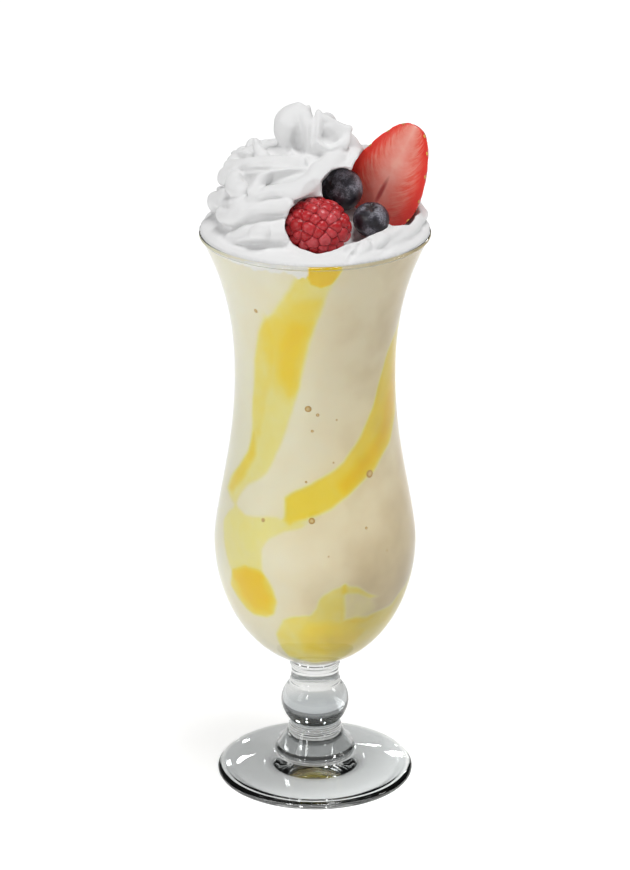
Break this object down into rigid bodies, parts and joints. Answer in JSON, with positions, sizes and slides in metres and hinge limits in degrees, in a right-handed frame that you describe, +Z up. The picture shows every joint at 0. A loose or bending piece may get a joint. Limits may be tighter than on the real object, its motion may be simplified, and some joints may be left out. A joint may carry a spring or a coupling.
{
  "type": "cheesecake milkshake in a footed glass",
  "caption": "Tall footed glass filled with ivory milkshake with lemon streaks, topped with a piped swirl of whipped cream, berries and half a strawberry.",
  "frame": {"origin": "centre of the foot, on the surface that the glass stands on", "axes": "+Z up along the axis of the glass, -Y towards the side with the berries, +X towards the strawberry"},
  "size_m": [0.081, 0.081, 0.2532],
  "materials": {
    "glass": "clear, polished",
    "milkshake": "smooth, thick drink",
    "whipped_cream": "soft matte foam",
    "raspberry": "moist, slightly glossy",
    "blueberry": "matte with a pale bloom",
    "strawberry": "moist cut flesh and glossy skin"
  },
  "bodies": {
    "root": {"glass": "glass", "milkshake": "milkshake", "whipped_cream": "whipped_cream", "raspberry": "raspberry", "blueberry_upper": "blueberry", "blueberry_lower": "blueberry", "strawberry_half": "strawberry"}
  },
  "joints": []
}
